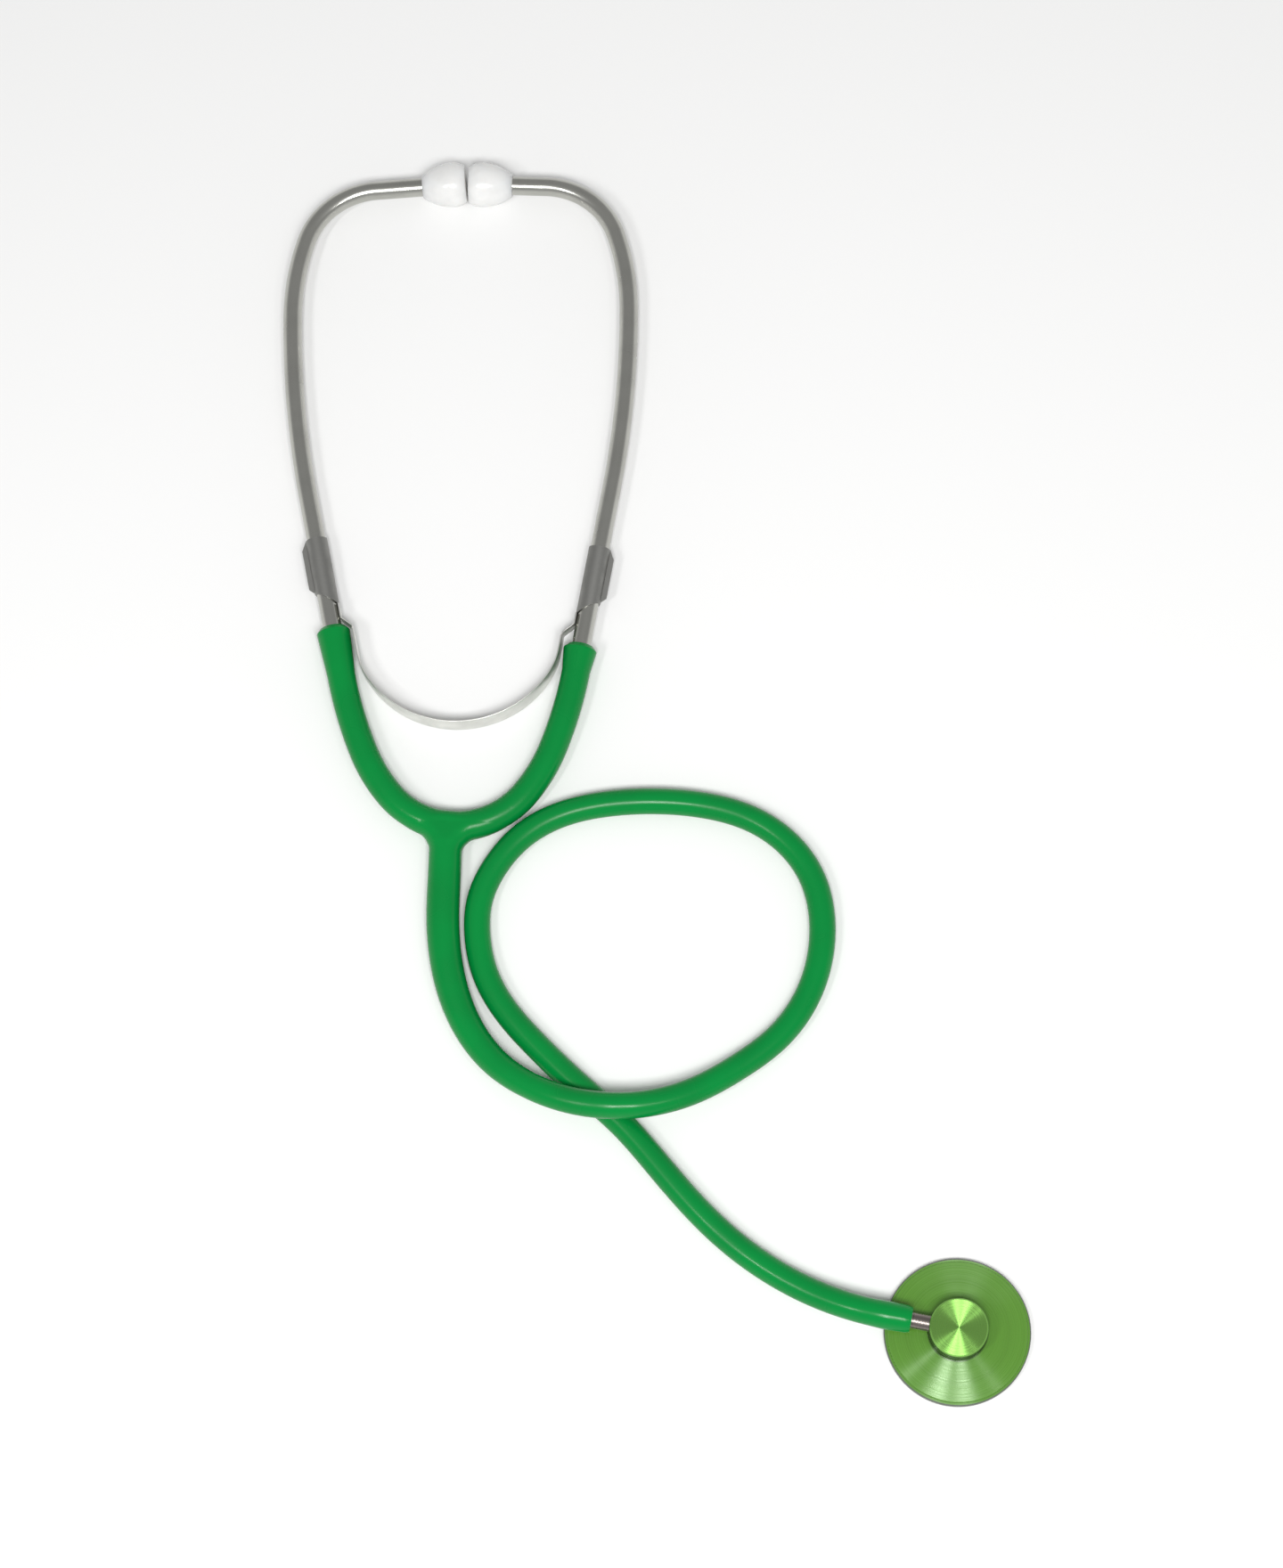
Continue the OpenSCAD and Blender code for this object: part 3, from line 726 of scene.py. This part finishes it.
def membrane():
    made, tree, shader, _ = material(
        "Diaphragm sheet", (0.74, 0.76, 0.77), roughness=0.42, spread=0.1, size=70, IOR=1.5)
    grain(tree, shader, scale=1600, detail=2, distance=0.00003, strength=0.5)
    return made


def plated():
    """Dark bright plating with the rings that a tool leaves round the metal stem."""
    made, tree, shader, _ = material(
        "Bright plating", (0.24, 0.21, 0.195), roughness=0.3, spread=0.05, size=150,
        metallic=1.0)
    along = tree.nodes.new("ShaderNodeMapping")
    along.inputs["Rotation"].default_value = (0, 0, METAL_STEM_TURN)
    tree.links.new(object_place(tree), along.inputs["Vector"])
    rings = tree.nodes.new("ShaderNodeTexWave")
    rings.inputs["Scale"].default_value = 330
    rings.inputs["Distortion"].default_value = 0.6
    tree.links.new(along.outputs["Vector"], rings.inputs["Vector"])
    bump(tree, shader, rings.outputs["Fac"], distance=0.0001, strength=0.6)
    return made


def dress(node, made):
    """Gives a CAD node its material."""
    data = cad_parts[node].data
    data.materials.clear()
    data.materials.append(made)


# Pieces

class STETHOSCOPE_OT_stage(bpy.types.Operator):
    """Make the floor, the soft lights and the camera"""
    bl_idname = "stethoscope.make_stage"
    bl_label = "Studio"

    def execute(self, context):
        studio = sizes(context, "studio")
        context.scene.view_settings.view_transform = "Standard"
        self.floor(studio)
        self.room(context, studio)
        self.lights(studio)
        self.camera(context, studio)
        return {"FINISHED"}

    def floor(self, studio):
        corners = [(x * FLOOR_REACH, y * FLOOR_REACH, 0)
                   for x, y in ((-1, -1), (1, -1), (1, 1), (-1, 1))]
        floor = new_piece("Floor", corners, [(0, 1, 2, 3)])
        made = bpy.data.materials.new("Pale floor")
        made.use_nodes = True
        shader = made.node_tree.nodes["Principled BSDF"]
        shader.inputs["Base Color"].default_value = (*studio.floor_colour, 1)
        shader.inputs["Roughness"].default_value = 0.85
        floor.data.materials.append(made)

    def room(self, context, studio):
        """A grey room over a pale wall, which the shiny pieces mirror."""
        world = bpy.data.worlds.new("Pale room")
        world.use_nodes = True
        tree = world.node_tree
        way = tree.nodes.new("ShaderNodeTexCoord").outputs["Generated"]
        height = tree.nodes.new("ShaderNodeSeparateXYZ")
        tree.links.new(way, height.inputs["Vector"])
        strength = tree.nodes.new("ShaderNodeMapRange")
        strength.inputs["To Min"].default_value = studio.room
        strength.inputs["To Max"].default_value = studio.horizon
        tree.links.new(ramp(tree, height.outputs["Z"], *WALL_FADE), strength.inputs["Value"])
        background = tree.nodes["Background"]
        background.inputs["Color"].default_value = (1, 1, 1, 1)
        tree.links.new(strength.outputs["Result"], background.inputs["Strength"])
        context.scene.world = world

    def lights(self, studio):
        aim = Vector(LIGHT_AIM)
        for name, place, (width, length), setting, share in LIGHTS:
            light = bpy.data.lights.new(name, "AREA")
            light.shape = "RECTANGLE"
            light.size = width
            light.size_y = length
            light.energy = getattr(studio, setting) * share
            lamp = add_object(name, light)
            lamp.location = place
            lamp.rotation_euler = (aim - lamp.location).to_track_quat("-Z", "Y").to_euler()

    def camera(self, context, studio):
        camera = bpy.data.cameras.new("Camera")
        camera.sensor_fit = "VERTICAL"
        camera.sensor_height = 36
        camera.sensor_width = 36
        camera.lens = studio.lens
        camera.clip_start = 0.01
        eye = Vector(CAMERA_EYE)
        back = (eye - Vector(CAMERA_TARGET)).normalized()
        right = Vector(CAMERA_UP).cross(back).normalized()
        axes = Matrix((right, back.cross(right), back)).transposed()
        holder = add_object("Camera", camera)
        holder.matrix_world = Matrix.Translation(eye) @ axes.to_4x4()
        context.scene.camera = holder


class STETHOSCOPE_OT_free_tube(bpy.types.Operator):
    """Make the free tube with its loop, from the yoke's stem to the metal stem"""
    bl_idname = "stethoscope.make_free_tube"
    bl_label = "Free tube"

    def execute(self, context):
        soft = sizes(context, "soft")
        path = smooth_route(TUBE_ROUTE, step=1.2) * MM
        along = distances(path)
        taper = np.maximum(0, 1 - (along / soft.taper_length) ** 2)
        reach = (soft.tube_diameter + (soft.stem_diameter - soft.tube_diameter) * taper) / 2
        from_end = along[-1] - along
        reach += BARB_SWELL * np.exp(-((from_end - BARB_PLACE) / BARB_REACH) ** 2)
        reach[-1] -= TUBE_END_CORNER
        piece = swept("soft_tube", path, reach, vinyl(context), sides=soft.sides)
        sharpen(piece, 50)
        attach(piece, "root")
        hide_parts("acoustic_tube")
        return {"FINISHED"}


class STETHOSCOPE_OT_yoke(bpy.types.Operator):
    """Make the soft yoke: a stem with filled corners, and its two arms with their sockets"""
    bl_idname = "stethoscope.make_yoke"
    bl_label = "Yoke"

    def execute(self, context):
        soft = sizes(context, "soft")
        made = vinyl(context)
        self.middle(soft, made)
        self.sleeve(soft, made)
        for name, side in SIDES:
            self.arm(soft, made, name, side)
        return {"FINISHED"}

    def on_bow(self, degrees):
        """A place on the bow's centre line, so far round from its foot."""
        a = math.radians(degrees)
        return BOW * math.sin(a), BOW - BOW * math.cos(a), 0

    def on_stem(self, down):
        """A place on the stem's axis, so far below the bow's centre line."""
        return (STEM_FOOT[0] - down * math.sin(STEM_LEAN),
                STEM_FOOT[1] - down * math.cos(STEM_LEAN), 0)

    def half_height(self, soft, down):
        grow = np.clip(down / STEM_GROWTH, 0, 1)
        return soft.arm_diameter / 2 / MM + (soft.stem_diameter - soft.arm_diameter) / 2 / MM * grow

    def shape(self, soft, p):
        """Negative inside the middle piece, which is a flat outline with filled corners,
        rounded to its half height."""
        x, y, z = p[:, 0], p[:, 1], p[:, 2]
        right, ahead = x - STEM_FOOT[0], y - STEM_FOOT[1]
        down = -right * math.sin(STEM_LEAN) - ahead * math.cos(STEM_LEAN)
        aside = right * math.cos(STEM_LEAN) - ahead * math.sin(STEM_LEAN)
        half = self.half_height(soft, down)
        bow = np.abs(np.hypot(x, y - BOW) - BOW) - half
        stem = np.hypot(aside, np.minimum(down - STEM_TOP, 0)) - half
        corner = soft.fillet / MM
        flat = np.maximum(corner, np.minimum(bow, stem)) - np.hypot(
            np.maximum(corner - bow, 0), np.maximum(corner - stem, 0))
        return np.hypot(np.maximum(flat + half, 0), z) - half

    def slope(self, soft, p):
        """How the shape's value changes along X, Y and Z at each point."""
        step = 0.01
        parts = []
        for axis in range(3):
            shift = np.zeros(3)
            shift[axis] = step
            parts.append((self.shape(soft, p + shift) - self.shape(soft, p - shift)) / (2 * step))
        return np.stack(parts, 1)

    def middle(self, soft, made):
        """Melts balls together, fits the result to the shape, and cuts it off at the joins."""
        rough = bmesh.new()
        balls = [(self.on_bow(a), BOW_BALL) for a in np.arange(-BALLS_TO, BALLS_TO + 1, 2.0)]
        balls += [(self.on_stem(down), STEM_BALL) for down in np.arange(0, STEM_LENGTH + 4.1, 1.0)]
        for place, radius in balls:
            bmesh.ops.create_icosphere(rough, subdivisions=2, radius=radius,
                                       matrix=Matrix.Translation(place))
        mesh = bpy.data.meshes.new("yoke_middle")
        rough.to_mesh(mesh)
        rough.free()
        piece = add_object("yoke_middle", mesh)
        remesh = piece.modifiers.new("Voxels", "REMESH")
        remesh.mode = "VOXEL"
        remesh.voxel_size = VOXEL
        plain = apply_modifiers(piece)

        p = np.array([v.co for v in plain.vertices])
        for _ in range(FITTING_STEPS):
            slope = self.slope(soft, p)
            # the limit keeps a step short where the shape is nearly flat
            steepness = np.maximum((slope**2).sum(1), 0.2)
            p = p - slope * (self.shape(soft, p) / steepness)[:, None]
        plain.vertices.foreach_set("co", p.astype(np.float32).ravel())

        work = bmesh.new()
        work.from_mesh(plain)
        cuts = [(self.on_stem(STEM_LENGTH), (-math.sin(STEM_LEAN), -math.cos(STEM_LEAN), 0))]
        a = math.radians(ARM_JOIN)
        for _, side in SIDES:
            cuts.append((self.on_bow(side * ARM_JOIN), (side * math.cos(a), math.sin(a), 0)))
        for place, way in cuts:
            bmesh.ops.bisect_plane(work, geom=work.verts[:] + work.edges[:] + work.faces[:],
                                   plane_co=place, plane_no=way, clear_outer=True)
        work.to_mesh(plain)
        work.free()

        p = np.array([v.co for v in plain.vertices])
        normals = self.slope(soft, p)
        normals /= np.linalg.norm(normals, axis=1)[:, None]
        plain.transform(Matrix.Diagonal((MM, MM, MM, 1)))
        plain.transform(HEADSET)
        plain.shade_smooth()
        turn = np.array(HEADSET.to_3x3())
        plain.normals_split_custom_set_from_vertices([tuple(n) for n in normals @ turn.T])
        plain.materials.append(made)
        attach(piece, "root")
        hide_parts("yoke_tube")

    def sleeve(self, soft, made):
        """Closes the joint to the free tube, just under the surface."""
        aside = np.array((math.cos(STEM_LEAN), -math.sin(STEM_LEAN), 0))
        up = np.array((0, 0, 1))
        verts = []
        for down, reach in SLEEVE:
            centre = np.array(self.on_stem(down))
            for a in 2 * math.pi * np.arange(soft.sides) / soft.sides:
                spot = centre + reach * (math.cos(a) * aside + math.sin(a) * up)
                verts.append(HEADSET @ (Vector(spot) * MM))
        sleeve = new_piece("stem_sleeve", verts, ring_faces(len(SLEEVE), soft.sides))
        outward(sleeve)
        sleeve.data.materials.append(made)
        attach(sleeve, "root")

    def arm(self, soft, made, name, side):
        """One arm and its socket: the arm's round section, then the socket's outline and bore."""
        half = soft.arm_diameter / 2 / MM
        start = ARM_JOIN - ARM_OVERLAP
        x, y, _ = self.on_bow(start)
        runs = [(BOW, YOKE_RUNS[0][1] - start)] + YOKE_RUNS[1:]
        hidden = math.radians(ARM_OVERLAP) * BOW
        places = trace((x, y, -90 + start), runs, step=0.8)
        gone = distances(np.array(places)[:, :2])
        profile = [(x, y, h, half - (ARM_SUNK if along < hidden - 0.05 else 0))
                   for (x, y, h), along in zip(places, gone)]
        x, y, h = places[-1]
        a = math.radians(h)
        socket, chamfer = SOCKET_LENGTH[name], 1.35
        edge = rounded([
            (half, 0), (SOCKET_RADIUS, socket - 1.5), (SOCKET_RADIUS - chamfer, socket),
            (SOCKET_BORE + 0.1, socket), (SOCKET_BORE, socket - 0.4),
            (SOCKET_BORE, socket - 4)], radius=0.5)
        profile += [(x - ahead * math.sin(a), y + ahead * math.cos(a), h, reach)
                    for reach, ahead in edge[1:]]
        verts = []
        for x, y, h, reach in profile:
            for k in range(soft.sides):
                a = 2 * math.pi * k / soft.sides
                out = reach * math.cos(a)
                spot = Vector((side * (x + out * math.cos(math.radians(h))),
                               y + out * math.sin(math.radians(h)), reach * math.sin(a)))
                verts.append(HEADSET @ (spot * MM))
        piece = new_piece("yoke_arm_" + name, verts, ring_faces(len(profile), soft.sides))
        outward(piece)
        piece.data.materials.append(made)
        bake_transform(piece)


class STETHOSCOPE_OT_leaf_spring(bpy.types.Operator):
    """Make the two halves of the leaf spring"""
    bl_idname = "stethoscope.make_leaf_spring"
    bl_label = "Leaf spring"

    def execute(self, context):
        headset = sizes(context, "headset")
        made = sheet_steel(context, "Bright strip steel", shade=1, roughness=0.34)
        for name, side in SIDES:
            bow = STRIP_BOW + [(STRIP_SIDE[name], 0)]
            neck_y = run_end(STRIP_START, *bow)[1] * MM
            places = trace(STRIP_START, bow + STRIP_KINK + [(STRIP_TAB[name], 0)], step=0.4)
            points = [Vector((side * x, y, 0)) * MM for x, y, _ in places]
            piece = swept("leaf_spring_" + name, points, [1] * len(points), made,
                          flat_section=True, thickness=headset.strip_thickness,
                          width=headset.strip_width, edge_radius=headset.strip_thickness * 0.3)
            for vertex in piece.data.vertices:
                past = min(1, max(0, (vertex.co.y - neck_y + NECK_LEAD) / NECK_FADE))
                ease = past * past * (3 - 2 * past)
                vertex.co.z *= 1 + (headset.neck_width / headset.strip_width - 1) * ease
            piece.data.transform(HEADSET)
            sharpen(piece, 35)
            if side < 0:
                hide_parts("leaf_spring")
            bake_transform(piece)
        return {"FINISHED"}


class STETHOSCOPE_OT_ear_tips(bpy.types.Operator):
    """Make the two turned ear tips with their sound holes"""
    bl_idname = "stethoscope.make_ear_tips"
    bl_label = "Ear tips"

    def execute(self, context):
        headset = sizes(context, "headset")
        made = tip_plastic(context)
        widest, length = headset.tip_diameter / 2 / MM, headset.tip_length / MM
        # radii of the neck, the flat face, the sound hole and the bore that grips the ear tube,
        # the heights of the belly and the dome over the face, and the depth of the bore
        neck, face, hole, grip, belly, dome, depth = 3.7, 6, 1.2, 3.15, 10.5, 0.4, 6
        face_turn, rim = math.acos(face / widest), length - dome
        outer = [(neck + (widest - neck) * u * (2 - u), belly * u) for u in np.linspace(0, 1, 25)]
        outer += [(widest * math.cos(face_turn * u),
                   belly + (rim - belly) * math.sin(face_turn * u) / math.sin(face_turn))
                  for u in np.linspace(0, 1, 25)[1:]]
        top = [(face * (1 - u), rim + (dome - 0.05) * (1 - (1 - u) ** 2))
               for u in np.linspace(0, 1, 13)[1:]]
        top = [(radius, height) for radius, height in top if radius > hole + 0.5]
        top += [(hole + 0.45, length - 0.06), (hole, length - 0.6), (hole, depth + 1)]
        bore = [(grip, depth), (grip, 0.2), (grip + 0.2, 0)]
        skin = [(neck - 0.25, 0), (neck, 0.1)] + outer[2:] + top
        outline = rounded(bore, radius=0.15) + rounded(skin, radius=0.5, steps=3)
        for name, side in SIDES:
            x, y, turn = TIP_PLACE[name]
            place = (HEADSET @ Matrix.Translation((side * x * MM, y * MM, 0))
                     @ Matrix.Rotation(math.radians(side * turn), 4, "Z")
                     @ Matrix.Rotation(math.radians(-90), 4, "X") @ Matrix.Scale(MM, 4))
            piece = lathe("ear_tip_" + name + "_egg", outline, place, segments=72)
            sharpen(piece, 50)
            piece.data.materials.append(made)
            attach(piece, name + "_tip")
            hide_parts("ear_tip_" + name)
        return {"FINISHED"}


class STETHOSCOPE_OT_ear_tubes(bpy.types.Operator):
    """Make the two bent metal ear tubes, from inside the yoke's sockets to inside the ear tips"""
    bl_idname = "stethoscope.make_ear_tubes"
    bl_label = "Ear tubes"

    def execute(self, context):
        headset = sizes(context, "headset")
        made = ear_tube_metal(context)
        foot = run_end((0, 0, -90), *YOKE_RUNS)
        for name, side in SIDES:
            above = SOCKET_LENGTH[name] - SOCKET_DEPTH
            runs = [(STRAIGHT_END - above, 0)] + CROOK_RUNS
            places = trace(run_end(foot, (above, 0)), runs, step=0.9)
            points = [HEADSET @ (Vector((side * x, y, 0)) * MM) for x, y, _ in places]
            reaches = [headset.ear_tube_diameter / 2] * len(points)
            piece = swept("polished_tube_" + name, points, reaches, made, sides=40)
            sharpen(piece, 50)
            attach(piece, name + "_tube")
            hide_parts("ear_tube_" + name)
        return {"FINISHED"}


class STETHOSCOPE_OT_metal(bpy.types.Operator):
    """Give the clips and the metal stem their metals"""
    bl_idname = "stethoscope.dress_metal"
    bl_label = "Clips and metal stem"

    def execute(self, context):
        steel = sheet_steel(context, "Dull clip steel", shade=0.38, roughness=0.5)
        for name, _ in SIDES:
            dress("spring_clip_" + name, steel)
        dress("metal_stem", plated())
        return {"FINISHED"}


class STETHOSCOPE_OT_sound_disc(bpy.types.Operator):
    """Give the disc, its retaining ring and its diaphragm their finishes"""
    bl_idname = "stethoscope.make_sound_disc"
    bl_label = "Sound disc"

    def execute(self, context):
        dress("chestpiece_disc", turned(context, "Turned green metal"))
        dress("retaining_ring", turned(context, "Turned rim", dark_edge=True))
        dress("diaphragm", membrane())
        return {"FINISHED"}


class STETHOSCOPE_PT_panel(bpy.types.Panel):
    """Sizes and steps of the toy stethoscope"""
    bl_idname = "STETHOSCOPE_PT_panel"
    bl_label = "Toy stethoscope"
    bl_space_type = "VIEW_3D"
    bl_region_type = "UI"
    bl_category = "Stethoscope"

    def draw(self, context):
        for group, title, _ in GROUPS:
            box = self.layout.box()
            box.label(text=title)
            settings = sizes(context, group)
            for name in settings.__annotations__:
                box.prop(settings, name)
        for operator in OPERATORS:
            self.layout.operator(operator.bl_idname)


GROUPS = [
    ("soft", "Soft tube", SoftTubeSizes), ("headset", "Headset", HeadsetSizes),
    ("disc", "Sound disc", DiscSizes), ("studio", "Studio", StudioSettings),
]
OPERATORS = [
    STETHOSCOPE_OT_stage, STETHOSCOPE_OT_free_tube, STETHOSCOPE_OT_yoke,
    STETHOSCOPE_OT_leaf_spring, STETHOSCOPE_OT_ear_tips, STETHOSCOPE_OT_ear_tubes,
    STETHOSCOPE_OT_metal, STETHOSCOPE_OT_sound_disc,
]


def register():
    for name, _, settings in GROUPS:
        bpy.utils.register_class(settings)
        setattr(bpy.types.Scene, "stethoscope_" + name, PointerProperty(type=settings))
    for operator in OPERATORS:
        bpy.utils.register_class(operator)
    bpy.utils.register_class(STETHOSCOPE_PT_panel)


def unregister():
    bpy.utils.unregister_class(STETHOSCOPE_PT_panel)
    for operator in reversed(OPERATORS):
        bpy.utils.unregister_class(operator)
    for name, _, settings in reversed(GROUPS):
        delattr(bpy.types.Scene, "stethoscope_" + name)
        bpy.utils.unregister_class(settings)


def main():
    register()
    for operator in OPERATORS:
        family, step = operator.bl_idname.split(".")
        getattr(getattr(bpy.ops, family), step)()


if __name__ == "__main__":
    main()
